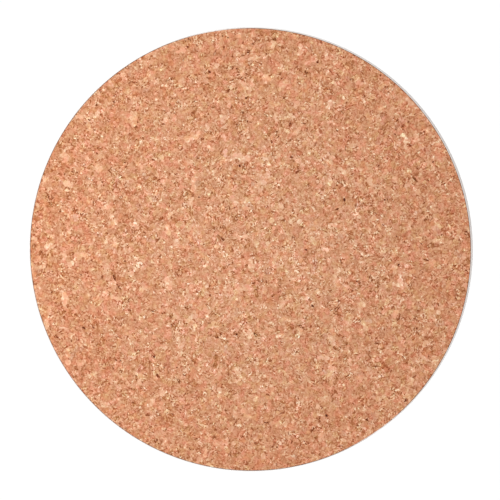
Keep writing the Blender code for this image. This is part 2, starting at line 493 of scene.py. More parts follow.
@dataclass(frozen=True)
class CorkFinish:
    """Pressed cork granules: tan, pink and cream chips with dark bark specks and open pits. Painted shade
    darkens the sunk pits, grooves, slits and arris, and darkens and warms the sheet towards its rim.
    """

    attribute: str = "granule"
    warp: float = 0.9 * MM
    warp_size: float = 1.6 * MM
    chip: Grain = Grain(0.95 * MM, ALONG_GRAIN)
    streak: Grain = Grain(0.7 * MM, ALONG_GRAIN, 2.0, 0.6)
    sliver: Grain = Grain(2.4 * MM, (0.6, 1.0, 1.2))
    shaving: Grain = Grain(2.7 * MM, (0.5, 1.0, 1.15))
    cloud: Grain = Grain(26 * MM, detail=2.0)
    patch: Grain = Grain(6.0 * MM, detail=1.0, rough=0.5)
    patch_warp: float = 2.4 * MM
    patch_limits: Limits = (0.35, 0.65)
    patch_texture: Limits = (0.74, 1.20)
    stain: Grain = Grain(11 * MM, detail=4.0, rough=0.7)
    pit_start: float = 0.1 * MM
    pit_depth: float = 0.42 * MM

    flake_marks: Marks = Marks(0.90, 0.94, 0.4, 0.12)
    shaving_marks: Marks = Marks(0.86, 0.89, 0.3, 0.20)
    crumb_marks: Marks = Marks(0.10, 0.06, 0.4, -0.06)
    flecks: Dots = Dots(Grain(8.0 * MM, ALONG_GRAIN), 0.0, 0.16, 0.03, 0.4, 0.34)
    specks: Dots = Dots(Grain(6.5 * MM, ALONG_GRAIN), 0.78, 0.72, 0.025, 0.5, -0.75)

    middle_tone: float = 0.468
    granule_weight: float = 0.165
    chip_weight: float = 0.515
    streak_weight: float = 0.57
    sliver_weight: float = 0.10
    dark_easing: float = 0.13
    cloud_weight: float = 0.08
    # How much darker the sunk places are painted: painted shade in the pits, the grooves, the slits and the
    # eased arris.
    pit_painted_shade: float = 0.16
    granule_hue: float = 0.6
    patch_hue: float = 1.7
    cloud_hue: float = 0.3

    warm: Wash = Wash(0.50, 0.95, (1.045, 0.905, 0.91), blend=Blend.STAIN_AND_SHADE)
    cool: Wash = Wash(0.50, 0.05, (0.965, 1.025, 1.01), blend=Blend.STAIN_AND_SHADE)
    straw: Wash = Wash(0.55, 0.95, (1.0, 1.03, 0.915), blend=Blend.STAIN_AND_SHADE)
    rose: Wash = Wash(0.45, 0.05, (1.0, 0.982, 1.045), blend=Blend.STAIN_AND_SHADE)
    mauve: Wash = Wash(0.012, 0.008, (0.95, 1.0, 1.05), blend=Blend.STAIN_AND_SHADE)
    stained: Wash = Wash(0.64, 0.78, (1.0, 0.84, 0.66), 0.6, Blend.STAIN_AND_SHADE)
    # Painted shade: the sheet is painted darker and warmer towards its rim, copying the light's fall-off at
    # the edges.
    rim: Wash = Wash(70 * MM, 230 * MM, (1.01, 0.93, 0.88), blend=Blend.STAIN_AND_SHADE)

    roughness: float = 0.82
    chip_roughness: float = 0.12
    pit_roughness: float = 0.1
    relief: float = 0.12 * MM
    relief_strength: float = 0.6
    chip_relief: float = 0.45
    streak_relief: float = 0.5
    flake_relief: float = 0.3
    gloss: float = 0.25
    level: Colour = (0.706, 0.735, 0.750)
    tones: tuple[tuple[float, Colour], ...] = (
        (0.00, (82, 31, 9)),
        (0.12, (133, 67, 30)),
        (0.26, (165, 99, 60)),
        (0.38, (187, 124, 88)),
        (0.50, (205, 145, 109)),
        (0.62, (215, 159, 124)),
        (0.76, (229, 180, 146)),
        (0.90, (243, 206, 172)),
        (1.00, (252, 228, 196)),
    )

    def make(self) -> Material:
        """Build the material.

        Returns:
            The cork.
        """
        shader = Shader("cork_granules")
        point = shader.place()
        granule_tone, granule_hue, turn = shader.parts(shader.attribute(self.attribute, "Color"))
        patch_point = shader.warped(point, self.patch_warp, self.patch_warp)
        patch_hue, patch_straw, patch_texture = shader.parts(shader.noise(patch_point, self.patch, "Color"))
        patch_share = shader.smooth(patch_texture, *self.patch_limits)
        texture = shader.attribute(self.attribute, "Alpha") * shader.spread(patch_share, *self.patch_texture)
        clouds = shader.noise(point, self.cloud)
        # How far a point lies sunk below the front; it darkens the tone as painted shade and roughens the
        # surface.
        pits = shader.smooth(shader.parts(point)[1], self.pit_start, self.pit_depth)

        grain = self.along_granule(shader, point, turn)
        chips = shader.parts(shader.cells(grain, self.chip))[0]
        streaks = shader.noise(grain, self.streak)
        slivers, bright, _ = shader.parts(shader.cells(grain, self.sliver))
        flakes = self.flake_marks.draw(shader, bright, slivers)
        crumbs = self.crumb_marks.draw(shader, bright, slivers)
        shavings = self.shaving_marks.draw(shader, *shader.parts(shader.cells(grain, self.shaving))[:2])
        flecks = self.flecks.draw(shader, grain)
        specks = self.specks.draw(shader, grain)

        fine = swing(chips, self.chip_weight) + swing(streaks, self.streak_weight)
        fine = fine + swing(slivers, self.sliver_weight)
        fine = fine - shader.math("MINIMUM", fine, 0.0) * self.dark_easing
        tone = (
            self.middle_tone
            + swing(granule_tone, self.granule_weight)
            + swing(clouds, self.cloud_weight)
            + fine * texture
            + flakes * self.flake_marks.weight
            + shavings * self.shaving_marks.weight
            + crumbs * self.crumb_marks.weight
            + flecks * self.flecks.weight
            + specks * self.specks.weight
            # painted shade in the sunk pits, grooves, slits and the eased arris
            - pits * self.pit_painted_shade
        )
        warmth = MIDDLE + swing(granule_hue, self.granule_hue) + swing(patch_hue, self.patch_hue)
        warmth = warmth + swing(clouds, self.cloud_hue)
        dryness = MIDDLE + swing(turn, self.granule_hue) + swing(patch_straw, self.patch_hue)
        from_middle = shader.node("ShaderNodeVectorMath", {"operation": "LENGTH"}, {0: point}, "Value")
        base = shader.node("ShaderNodeValToRGB", {"stops": self.stops()}, {0: tone})
        for pattern, wash in (
            (warmth, self.warm),
            (warmth, self.cool),
            (dryness, self.straw),
            (dryness, self.rose),
            (turn, self.mauve),
            (shader.noise(point, self.stain), self.stained),
            # painted shade, darker and warmer towards the rim
            (from_middle, self.rim),
        ):
            base = shader.washed(base, pattern, wash)
        height = chips * self.chip_relief + streaks * self.streak_relief
        height = height + flakes * self.flake_relief - specks
        return shader.dress(
            Base_Color=base,
            Roughness=self.roughness + swing(chips, self.chip_roughness) + pits * self.pit_roughness,
            Normal=shader.bump(height, self.relief, self.relief_strength),
            Specular_IOR_Level=self.gloss,
        )

    def along_granule(self, shader: Shader, point: Value, turn: Value) -> Value:
        """The point turned to its granule's own grain, with a wavering line.

        Args:
            shader: The cork's shader.
            point: The point on the sheet.
            turn: The granule's direction, as a share of a full turn.

        Returns:
            The point that strokes and marks are drawn with.
        """
        inputs = {"Vector": point, "Angle": turn * FULL_TURN}
        turned_point = shader.node("ShaderNodeVectorRotate", {"rotation_type": "Y_AXIS"}, inputs)
        return shader.warped(turned_point, self.warp_size, self.warp)

    def stops(self) -> list[tuple[float, Colour]]:
        """Bring each colour to the sheet's own level.

        Returns:
            The ramp's stops.
        """
        return [
            (place, tuple(part * level for part, level in zip(tint(*card), self.level)))
            for place, card in self.tones
        ]


# ---------------------------------------------------------------- other finishes


@dataclass(frozen=True)
class HardboardFinish:
    """Wet-process fibre board, its back printed by the wire screen of the press, with painted shade in the
    screen's dimples.
    """

    ground: Colour = tint(134, 98, 66)
    screen_pitch: float = 1.6 * MM
    screen_skew: float = 0.04
    # Painted shade: the screen's sunk dimples are darkened by this share and colour.
    screen_limits: Limits = (-0.6, 0.9)
    screen_shade_share: float = 0.4
    screen_painted_shade: Colour = (0.72, 0.68, 0.64)
    fibre: Grain = Grain(1.1 * MM, (1.0, 1.0, 0.28), 4.0, 0.7)
    cross_fibre: Grain = Grain(1.1 * MM, (0.25, 1.0, 1.0), 4.0, 0.7)
    bundle: Grain = Grain(3.2 * MM, (1.0, 1.0, 0.2), 4.0, 0.75)
    bundle_warp: float = 9 * MM
    bundle_warp_size: float = 14 * MM
    blotch: Grain = Grain(38 * MM)
    dark: Wash = Wash(0.56, 0.74, tint(84, 56, 36), 0.8)
    pale: Wash = Wash(0.58, 0.76, tint(176, 138, 100), 0.65)
    bundled: Wash = Wash(0.56, 0.72, tint(84, 56, 36), 0.55)
    blotched: Wash = Wash(0.40, 0.64, (0.78, 0.73, 0.68), 0.6, Blend.STAIN_AND_SHADE)
    roughness: float = 0.62
    fibre_roughness: float = 0.3
    screen_polish: float = 0.06
    relief: float = 0.10 * MM
    relief_strength: float = 0.8
    screen_relief: float = 0.7
    fibre_relief: float = 0.5
    gloss: float = 0.35

    def make(self) -> Material:
        """Build the material.

        Returns:
            The hardboard.
        """
        shader = Shader("hardboard")
        point = shader.place()
        across, _, up = shader.parts(point)
        wave = FULL_TURN / self.screen_pitch
        weft = shader.math("SINE", (across + up * self.screen_skew) * wave)
        warp = shader.math("SINE", (up - across * self.screen_skew) * wave)
        screen = shader.smooth(weft * warp, *self.screen_limits)
        fibres = shader.noise(point, self.fibre)
        bundle_point = shader.warped(point, self.bundle_warp_size, self.bundle_warp)
        base = shader.washed(self.ground, fibres, self.dark)
        base = shader.washed(base, shader.noise(point, self.cross_fibre), self.pale)
        base = shader.washed(base, shader.noise(bundle_point, self.bundle), self.bundled)
        base = shader.washed(base, shader.noise(point, self.blotch), self.blotched)
        # Painted shade: the low places of the screen are darkened.
        base = shader.mix((1 - screen) * self.screen_shade_share, base, self.screen_painted_shade, Blend.STAIN_AND_SHADE)
        height = screen * self.screen_relief + fibres * self.fibre_relief
        return shader.dress(
            Base_Color=base,
            Roughness=self.roughness + fibres * self.fibre_roughness - screen * self.screen_polish,
            Normal=shader.bump(height, self.relief, self.relief_strength),
            Specular_IOR_Level=self.gloss,
        )


@dataclass(frozen=True)
class SoftboardFinish:
    """Loose-pressed wood fibre, pale brown and open at its cut edge."""

    dark: Colour = tint(138, 112, 82)
    lying: Grain = Grain(1.4 * MM, (0.3, 1.6, 1.0), 5.0, 0.7)
    crossed: Grain = Grain(1.4 * MM, (1.0, 1.6, 0.3), 5.0, 0.7)
    pale: Wash = Wash(0.42, 0.64, tint(188, 166, 132))
    roughness: float = 0.86
    fibre_roughness: float = 0.12
    relief: float = 0.25 * MM

    def make(self) -> Material:
        """Build the material.

        Returns:
            The softboard.
        """
        shader = Shader("softboard")
        point = shader.place()
        fibres = (shader.noise(point, self.lying) + shader.noise(point, self.crossed)) * 0.5
        return shader.dress(
            Base_Color=shader.washed(self.dark, fibres, self.pale),
            Roughness=self.roughness + fibres * self.fibre_roughness,
            Normal=shader.bump(fibres, self.relief),
        )


@dataclass(frozen=True)
class BlockFinish:
    """Planed softwood with its grain upright."""

    early: Colour = tint(222, 190, 144)
    late: Wash = Wash(0.1, 0.95, tint(178, 132, 84), 0.8)
    ring: float = 2.6 * MM
    ring_across: float = 0.8
    ring_deep: float = 0.6
    sway: Grain = Grain(12 * MM, (1.0, 1.0, 0.15), 2.0)
    sway_reach: float = 4 * MM
    pore: Grain = Grain(0.5 * MM, (1.0, 1.0, 0.06))
    pored: Wash = Wash(0.55, 0.75, (0.78, 0.72, 0.66), 0.35, Blend.STAIN_AND_SHADE)
    roughness: float = 0.58
    pore_roughness: float = 0.2
    relief: float = 0.06 * MM
    late_relief: float = 0.375

    def make(self) -> Material:
        """Build the material.

        Returns:
            The wood.
        """
        shader = Shader("block_wood")
        point = shader.place()
        across, depth, _ = shader.parts(point)
        sway = swing(shader.noise(point, self.sway), self.sway_reach)
        from_heart = across * self.ring_across + depth * self.ring_deep + sway
        late = shader.share_of(shader.math("SINE", from_heart * (FULL_TURN / self.ring)), self.late)
        pores = shader.noise(point, self.pore)
        base = shader.mix(late, self.early, self.late.colour)
        return shader.dress(
            Base_Color=shader.washed(base, pores, self.pored),
            Roughness=self.roughness + pores * self.pore_roughness,
            Normal=shader.bump(pores - late * self.late_relief, self.relief),
        )


@dataclass(frozen=True)
class BandFinish:
    """Satin white edging strip, with the faint streaks of its roller and a little handling soil."""

    ground: Colour = tint(203, 194, 189)
    soil_colour: Colour = tint(183, 174, 167)
    streak: Grain = Grain(0.6 * MM, (0.05, 1.0, 0.05))
    scuff: Grain = Grain(9 * MM, detail=5.0, rough=0.65)
    scuff_limits: Limits = (0.52, 0.80)
    scuff_share: float = 0.45
    rub: Grain = Grain(1.2 * MM, (1.0, 0.25, 1.0), 4.0, 0.7)
    rub_limits: Limits = (0.62, 0.78)
    rub_share: float = 0.25
    roughness: float = 0.38
    streak_roughness: float = 0.12
    soil_roughness: float = 0.25
    relief: float = 0.02 * MM
    relief_strength: float = 0.5
    streak_relief: float = 0.6
    rub_relief: float = 0.4

    def make(self) -> Material:
        """Build the material.

        Returns:
            The strip's plastic.
        """
        shader = Shader("band_plastic")
        point = shader.place()
        streaks = shader.noise(point, self.streak)
        rubs = shader.noise(point, self.rub)
        scuffed = shader.smooth(shader.noise(point, self.scuff), *self.scuff_limits) * self.scuff_share
        soiled = scuffed + shader.smooth(rubs, *self.rub_limits) * self.rub_share
        height = streaks * self.streak_relief + rubs * self.rub_relief
        return shader.dress(
            Base_Color=shader.mix(soiled, self.ground, self.soil_colour),
            Roughness=self.roughness + streaks * self.streak_roughness + soiled * self.soil_roughness,
            Normal=shader.bump(height, self.relief, self.relief_strength),
        )


@dataclass(frozen=True)
class SteelFinish:
    """Bright zinc plate over steel: fine polish lines, crystal clouding and rubbed spots."""

    ground: Colour = tint(196, 199, 204)
    line: Grain = Grain(0.12 * MM, (1.0, 0.08, 1.0))
    crystal: Grain = Grain(1.1 * MM)
    crystal_share: float = 0.35
    cloud: Grain = Grain(3.5 * MM, detail=4.0, rough=0.6)
    clouded: Wash = Wash(0.35, 0.7, tint(164, 170, 180), 0.4)
    spot: Grain = Grain(0.9 * MM)
    dulled: Wash = Wash(0.60, 0.74, tint(120, 118, 114), 0.5)
    roughness: float = 0.26
    line_roughness: float = 0.14
    cloud_roughness: float = 0.10
    dull_roughness: float = 0.4
    relief: float = 0.008 * MM
    relief_strength: float = 0.6
    line_relief: float = 0.6
    crystal_relief: float = 0.2

    def make(self) -> Material:
        """Build the material.

        Returns:
            The plated steel.
        """
        shader = Shader("zinc_steel")
        point = shader.place()
        lines = shader.noise(point, self.line)
        crystals = shader.parts(shader.cells(point, self.crystal))[0]
        clouds = shader.noise(point, self.cloud)
        dull = shader.share_of(shader.noise(point, self.spot), self.dulled)
        cloudy = crystals * self.crystal_share + shader.share_of(clouds, self.clouded)
        base = shader.mix(cloudy, self.ground, self.clouded.colour)
        shine = self.roughness + lines * self.line_roughness + clouds * self.cloud_roughness
        height = lines * self.line_relief + crystals * self.crystal_relief
        return shader.dress(
            Base_Color=shader.mix(dull, base, self.dulled.colour),
            Metallic=1.0,
            Roughness=shine + dull * self.dull_roughness,
            Normal=shader.bump(height, self.relief, self.relief_strength),
        )


@dataclass(frozen=True)
class RubberFinish:
    """Grey moulded rubber with a fine spark-eroded grain and a trace of dust."""

    ground: Colour = tint(74, 75, 78)
    grain: Grain = Grain(0.28 * MM, detail=2.0)
    dust: Grain = Grain(3.2 * MM, detail=5.0, rough=0.7)
    dusted: Wash = Wash(0.48, 0.8, tint(128, 124, 118), 0.55)
    roughness: float = 0.52
    grain_roughness: float = 0.2
    dust_roughness: float = 0.2
    relief: float = 0.03 * MM
    relief_strength: float = 0.7
    gloss: float = 0.4

    def make(self) -> Material:
        """Build the material.

        Returns:
            The rubber.
        """
        shader = Shader("bumper_rubber")
        point = shader.place()
        grain = shader.noise(point, self.grain)
        dusty = shader.share_of(shader.noise(point, self.dust), self.dusted)
        return shader.dress(
            Base_Color=shader.mix(dusty, self.ground, self.dusted.colour),
            Roughness=self.roughness + grain * self.grain_roughness + dusty * self.dust_roughness,
            Normal=shader.bump(grain, self.relief, self.relief_strength),
            Specular_IOR_Level=self.gloss,
        )


@dataclass(frozen=True)
class FloorFinish:
    """Matt white studio paper."""

    ground: Colour = (0.94, 0.94, 0.94)
    roughness: float = 0.95

    def make(self) -> Material:
        """Build the material.

        Returns:
            The paper.
        """
        shader = Shader("studio_paper")
        return shader.dress(Base_Color=self.ground, Roughness=self.roughness, Specular_IOR_Level=0.0)


# ---------------------------------------------------------------- workshop


@dataclass(frozen=True)
class Fitting:
    """What a new piece stands for: a CAD node, the body that it rides on and its material slot."""

    node: str
    body: Body
    slot: Slot


def to_object(name: str, bm: BMesh, material: Material | None = None) -> Object:
    """Turn a finished bmesh into an object in the scene, at the origin.

    Args:
        name: The object's name.
        bm: Its shape, in place; it is used up.
        material: Its finish, if it has one.

    Returns:
        The object.
    """
    mesh = bpy.data.meshes.new(name)
    bm.to_mesh(mesh)
    bm.free()
    if material:
        mesh.materials.append(material)
    piece = bpy.data.objects.new(name, mesh)
    bpy.context.scene.collection.objects.link(piece)
    return piece


def fit(
    name: str,
    bm: BMesh,
    fitting: Fitting,
    material: Material,
    smooth_angle: float | None = math.radians(32),
) -> Object:
    """Finish a piece and fit it to the frame.

    Args:
        name: The piece's name.
        bm: Its shape, in place; it is used up.
        fitting: The node that it replaces, with its body and slot.
        material: Its finish.
        smooth_angle: Faces that meet at less than this are shaded as one; None leaves them flat.

    Returns:
        The piece.
    """
    bmesh.ops.recalc_face_normals(bm, faces=bm.faces)
    piece = to_object(name, bm, material)
    if smooth_angle is not None:
        piece.data.shade_smooth()
        piece.data.set_sharp_from_angle(angle=smooth_angle)
    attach(piece, fitting.body.value)
    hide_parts(fitting.node)
    log.info("%s: %d faces, stands for %s", name, len(piece.data.polygons), fitting.node)
    return piece


def redress(node: str, material: Material) -> None:
    """Give a CAD node that stays visible its finish.

    Args:
        node: The node's name.
        material: The finish.
    """
    piece = frame["nodes"][node]
    piece.data.materials.clear()
    piece.data.materials.append(material)
    log.info("%s: kept and dressed in %s", node, material.name)


def only(items: list, kind: type) -> list:
    """The items of one kind among what an operator made."""
    return [item for item in items if isinstance(item, kind)]


def open_edges(bm: BMesh) -> list[BMEdge]:
    """The edges that only one face uses."""
    return [edge for edge in bm.edges if edge.is_boundary]


def sharp_edges(bm: BMesh) -> list[BMEdge]:
    """The edges where two faces meet at a sharp angle."""
    return [edge for edge in bm.edges if edge.calc_face_angle(0.0) > SHARP_ANGLE]


def arc(centre: tuple[float, float], radius: float, start: float, turn: float, steps: int) -> list[tuple]:
    """Work out points along an arc in a plane.

    Args:
        centre: The arc's middle.
        radius: Its radius.
        start: The angle of its first point.
        turn: The angle from there to its last.
        steps: Its number of steps.

    Returns:
        The points, with both ends.
    """
    angles = [start + turn * step / steps for step in range(steps + 1)]
    return [(centre[0] + radius * math.cos(a), centre[1] + radius * math.sin(a)) for a in angles]


def rectangle(centre: tuple[float, float, float], across: float, along: float, turn: Matrix) -> BMesh:
    """Start a shape from a flat rectangle.

    Args:
        centre: Its middle.
        across: Its width.
        along: Its length.
        turn: How it is turned before it is put in place.

    Returns:
        The shape.
    """
    bm = bmesh.new()
    matrix = Matrix.Translation(centre) @ turn @ Matrix.Diagonal((across, along, 1.0, 1.0))
    bmesh.ops.create_grid(bm, x_segments=1, y_segments=1, size=0.5, matrix=matrix)
    return bm


def spin(
    bm: BMesh,
    items: list,
    angle: float,
    steps: int,
    centre: tuple[float, float, float] = ORIGIN,
    rise: float = 0.0,
    closed: bool = False,
) -> dict:
    """Sweep part of a shape round an axis that runs straight back.

    Args:
        bm: The shape.
        items: The points, edges or faces that are swept.
        angle: How far they turn.
        steps: In how many steps.
        centre: A point on the axis.
        rise: How far back they go on the way.
        closed: Whether the end meets the start.

    Returns:
        What the operator made.
    """
    return bmesh.ops.spin(
        bm,
        geom=items,
        cent=centre,
        axis=DEPTH_AXIS,
        dvec=(0.0, rise / steps, 0.0),
        angle=angle,
        steps=steps,
        use_merge=closed,
    )


def turned(profile: list[tuple[float, float]], steps: int) -> BMesh:
    """Turn a solid round the depth axis.

    Args:
        profile: Its outline as (radius, depth) points, from one point on the axis to another.
        steps: In how many steps.

    Returns:
        The solid.
    """
    bm = bmesh.new()
    points = [bm.verts.new((radius, depth, 0.0)) for radius, depth in profile]
    edges = [bm.edges.new(pair) for pair in zip(points, points[1:])]
    spin(bm, points + edges, FULL_TURN, steps, closed=True)
    bmesh.ops.remove_doubles(bm, verts=bm.verts, dist=WELD)
    bmesh.ops.recalc_face_normals(bm, faces=bm.faces)
    return bm


def bevel(bm: BMesh, items: list, width: float, steps: int, kind: Rounding = Rounding.EDGES) -> None:
    """Round edges, or the corners of a flat shape.

    Args:
        bm: The shape.
        items: The edges or the corners.
        width: How far from them the rounding starts.
        steps: Its number of facets.
        kind: Which of the two they are.
    """
    bmesh.ops.bevel(
        bm, geom=items, affect=kind.value, offset=width, segments=steps, profile=0.5, material=-1
    )


def joined(target: BMesh, tool: BMesh, joining: Joining) -> BMesh:
    """Unite a shape with another, or cut the other out of it.

    Args:
        target: The shape that stays; it is used up.
        tool: The other shape; it is used up.
        joining: Which of the two is done.

    Returns:
        The new shape.
    """
    work, other = to_object("work_blank", target), to_object("tool_blank", tool)
    modifier = work.modifiers.new("joined", "BOOLEAN")
    modifier.operation = joining.value
    modifier.solver = "EXACT"
    modifier.object = other
    result = bmesh.new()
    result.from_object(work, bpy.context.evaluated_depsgraph_get())
    for blank in (work, other):
        mesh = blank.data
        bpy.data.objects.remove(blank)
        bpy.data.meshes.remove(mesh)
    return result


@dataclass(frozen=True)
class DiscMap:
    """A disc's own map: its visible side large, its far side and its edge small in a corner."""

    name: str = "OFBake"
    seen_radius: float = 0.495
    corner: float = 0.072
    hidden_radius: float = 0.050
    edge_width: float = 0.018
    least_facing: float = 0.1

    def lay(self, bm: BMesh, seen: Vector, radius: float, far: float, near: float) -> None:
        """Give a disc its map.

        Args:
            bm: The disc.
            seen: The direction that its visible side faces.
            radius: Its radius.
            far: The depth of the side that isn't seen.
            near: The depth of the side that is.
        """
        layer = bm.loops.layers.uv.new(self.name)
        bmesh.ops.recalc_face_normals(bm, faces=bm.faces)
        for face in bm.faces:
            hidden = face.normal.dot(seen) < self.least_facing
            for loop in face.loops:
                across, depth, up = loop.vert.co
                if hidden:
                    middle = self.corner
                    scale = self.hidden_radius + self.edge_width * (depth - far) / (near - far)
                else:
                    middle = MIDDLE
                    scale = self.seen_radius
                loop[layer].uv = (middle + across * scale / radius, middle + up * scale / radius)


# ---------------------------------------------------------------- cork face


@dataclass
class CorkFace:
    """The cork sheet: a mosaic of pressed granules over a solid slab."""

    seeds: int = 9600
    patience: int = 400
    margin: float = 1.2 * MM
    grit: float = 2.3 * MM
    rim_steps: int = 360
    slits: int = 190
    slit_width: float = 0.75 * MM
    merge_share: float = 0.36
    least_joint: float = 1.2 * MM
    plain_tone: tuple[float, float] = (0.5, 0.17)
    plain_texture: Limits = (0.5, 1.45)
    cream_share: float = 0.05
    cream_tone: Limits = (1.3, 2.1)
    cream_texture: Limits = (0.3, 0.7)
    bark_share: float = 0.025
    bark_tone: Limits = (-0.3, 0.1)
    bark_texture: Limits = (0.7, 1.2)
    # The slits' faces are painted dark: painted shade inside the crevices.
    slit_shaded_tone: Limits = (-0.3, 0.2)
    slit_texture: float = 0.8
    groove_width: float = 0.15 * MM
    groove_depth: float = 0.24 * MM
    groove_unevenness: float = 1.5
    slit_depth: float = 0.42 * MM
    step_height: float = 0.10 * MM
    tilt: float = 0.022
    arris: float = 0.4 * MM
    seed: int = 41
    finish: CorkFinish = CorkFinish()
    fitting: Fitting = Fitting("cork_face", Body.BOARD, Slot.CORK)

    def __post_init__(self) -> None:
        """Read the sheet's place from the frame."""
        low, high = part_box(self.fitting.node)
        self.radius = high.x
        self.front = low.y
        self.rear = high.y
        self.random = random.Random(self.seed)

    def build(self) -> Object:
        """Build the granule face, its edge and its back, and dress it.

        Returns:
            The cork sheet.
        """
        bm, is_slit = self.mosaic()
        self.merge_granules(bm, is_slit)
        self.colour_granules(bm, is_slit)
        self.carve_grooves(bm, is_slit)
        self.close_slab(bm)
        DiscMap().lay(bm, TO_FRONT, self.radius, self.rear, self.front)
        return fit("cork_granule_face", bm, self.fitting, self.finish.make(), None)

    def scatter(self) -> tuple[list[Vector], list[int]]:
        """Scatter the granules' middles, with threes in a row where a thin slit lies.

        Returns:
            The points in (x, z), and the numbers of those that are slits.
        """
        cell = self.grit / math.sqrt(2)
        reach = self.radius - self.margin
        taken: dict[tuple[int, int], Vector] = {}
        points: list[Vector] = []
        marks: list[int] = []

        def square(point: Vector) -> tuple[int, int]:
            """The square of the sheet that a point lies in."""
            return int(point.x // cell), int(point.y // cell)

        def free(point: Vector) -> bool:
            """Tell whether there is room for a granule.

            Args:
                point: Its middle.

            Returns:
                Whether no other is too near.
            """
            column, row = square(point)
            for i in range(column - 2, column + 3):
                for j in range(row - 2, row + 3):
                    other = taken.get((i, j))
                    if other is not None and (other - point).length < self.grit:
                        return False
            return True

        def spot() -> Vector:
            """Pick a random point on the sheet.

            Returns:
                The point, as (x, z).
            """
            distance = reach * math.sqrt(self.random.random())
            angle = FULL_TURN * self.random.random()
            return Vector((distance * math.cos(angle), distance * math.sin(angle)))

        while len(marks) < self.slits:
            middle = spot()
            angle = HALF_TURN * self.random.random()
            side = Vector((math.cos(angle), math.sin(angle))) * self.slit_width
            if middle.length > reach - 2 * self.slit_width or not free(middle):
                continue
            marks.append(len(points))
            points += [middle, middle + side, middle - side]
            taken.update((square(point), point) for point in points[-3:])
        misses = 0
        while len(points) < self.seeds and misses < self.patience:
            point = spot()
            if free(point):
                points.append(point)
                taken[square(point)] = point
                misses = 0
            else:
                misses += 1
        return points, marks

    def mosaic(self) -> tuple[BMesh, BMLayerItem]:
        """Make one flat face for each granule, as the cells between the lines of a triangle net.

        Returns:
            The mosaic, and the layer that is one on the faces of slits.
        """
        points, marks = self.scatter()
        angles = (FULL_TURN * step / self.rim_steps for step in range(self.rim_steps))
        rim = [Vector((self.radius * math.cos(angle), self.radius * math.sin(angle))) for angle in angles]
        net_points, _, net_faces, *_ = delaunay_2d_cdt(points + rim, [], [], 0, WELD)
        bm = bmesh.new()
        is_slit = bm.faces.layers.int.new("slit")
        slit_middle = bm.verts.layers.int.new("slit_middle")
        verts = [bm.verts.new((x, self.front, z)) for x, z in net_points]
        for index in marks:
            verts[index][slit_middle] = 1
        for face in net_faces:
            bm.faces.new([verts[index] for index in face])
        self.turn_to_cells(bm, is_slit, slit_middle)
        return bm, is_slit

    def turn_to_cells(self, bm: BMesh, is_slit: BMLayerItem, slit_middle: BMLayerItem) -> None:
        """Replace each point of a triangle net by the cell round it.

        Args:
            bm: The net, which becomes the cells.
            is_slit: The faces' layer that is set to one on slits.
            slit_middle: The points' layer that is one on the middles of slits.
        """
        halves = bmesh.ops.subdivide_edges(bm, edges=open_edges(bm), cuts=1)["geom_inner"]
        rim_middles = set(only(halves, BMVert))
        for vert in rim_middles:
            vert.co *= self.radius / vert.co.length
        middles = [vert for vert in bm.verts if not vert.is_boundary]
        rim_verts = [vert for vert in bm.verts if vert.is_boundary and vert not in rim_middles]
        net_edges = [edge for edge in bm.edges if not edge.is_boundary]
        crossings = bmesh.ops.poke(bm, faces=bm.faces)["verts"]
        bmesh.ops.dissolve_edges(bm, edges=net_edges, use_verts=False)
        bmesh.ops.connect_verts(bm, verts=crossings)
        for vert in middles:
            if vert[slit_middle]:
                for face in vert.link_faces:
                    face[is_slit] = 1
        bmesh.ops.dissolve_verts(bm, verts=middles)
        rays = dict.fromkeys(
            edge for vert in rim_verts for edge in vert.link_edges if not edge.is_boundary
        )
        bmesh.ops.dissolve_edges(bm, edges=list(rays), use_verts=False)

    def merge_granules(self, bm: BMesh, is_slit: BMLayerItem) -> None:
        """Run some neighbouring cells together, for the larger and less even granules.

        Args:
            bm: The mosaic.
            is_slit: The layer that is one on the faces of slits.
        """
        joints = []
        used: set[BMFace] = set()
        for edge in bm.edges:
            if len(edge.link_faces) != 2 or edge.calc_length() < self.least_joint:
                continue
            pair = edge.link_faces
            if any(face[is_slit] or face in used for face in pair):
                continue
            if self.random.random() < self.merge_share:
                joints.append(edge)
                used.update(pair)
        bmesh.ops.dissolve_edges(bm, edges=joints, use_verts=False)

    def colour_granules(self, bm: BMesh, is_slit: BMLayerItem) -> None:
        """Give each granule its tone, its hue, the direction of its grain and how strong its texture is.

        Args:
            bm: The mosaic.
            is_slit: The layer that is one on the faces of slits.
        """
        layer = bm.faces.layers.float_color.new(self.finish.attribute)
        uniform = self.random.uniform
        for face in bm.faces:
            kind = self.random.random()
            if face[is_slit]:
                # Slits get a dark tone as painted shade inside the crevice.
                tone, texture = uniform(*self.slit_shaded_tone), self.slit_texture
            elif kind < self.cream_share:
                tone, texture = uniform(*self.cream_tone), uniform(*self.cream_texture)
            elif kind > 1 - self.bark_share:
                tone, texture = uniform(*self.bark_tone), uniform(*self.bark_texture)
            else:
                tone, texture = self.random.gauss(*self.plain_tone), uniform(*self.plain_texture)
            face[layer] = (tone, self.random.random(), self.random.random(), texture)

    def carve_grooves(self, bm: BMesh, is_slit: BMLayerItem) -> None:
        """Sink the lines between the granules, and set each granule's top at its own height and tilt.

        Args:
            bm: The mosaic.
            is_slit: The layer that is one on the faces of slits.
        """
        granules = list(bm.faces)
        for vert in bm.verts:
            if not vert.is_boundary:
                sunk = self.random.random() ** self.groove_unevenness
                vert.co.y = self.front + self.groove_depth * sunk
        bmesh.ops.inset_individual(
            bm, faces=granules, thickness=self.groove_width, depth=0.0, use_even_offset=False
        )
        for face in granules:
            sunk = self.slit_depth if face[is_slit] else self.step_height * self.random.random() ** 2
            lean_x, lean_z = (self.tilt * self.random.uniform(-1, 1) for _ in range(2))
            middle = face.calc_center_median()
            reach = max((vert.co - middle).length for vert in face.verts)
            least = self.front + sunk + reach * math.hypot(lean_x, lean_z)
            for vert in face.verts:
                offset = vert.co - middle
                vert.co.y = least + lean_x * offset.x + lean_z * offset.z

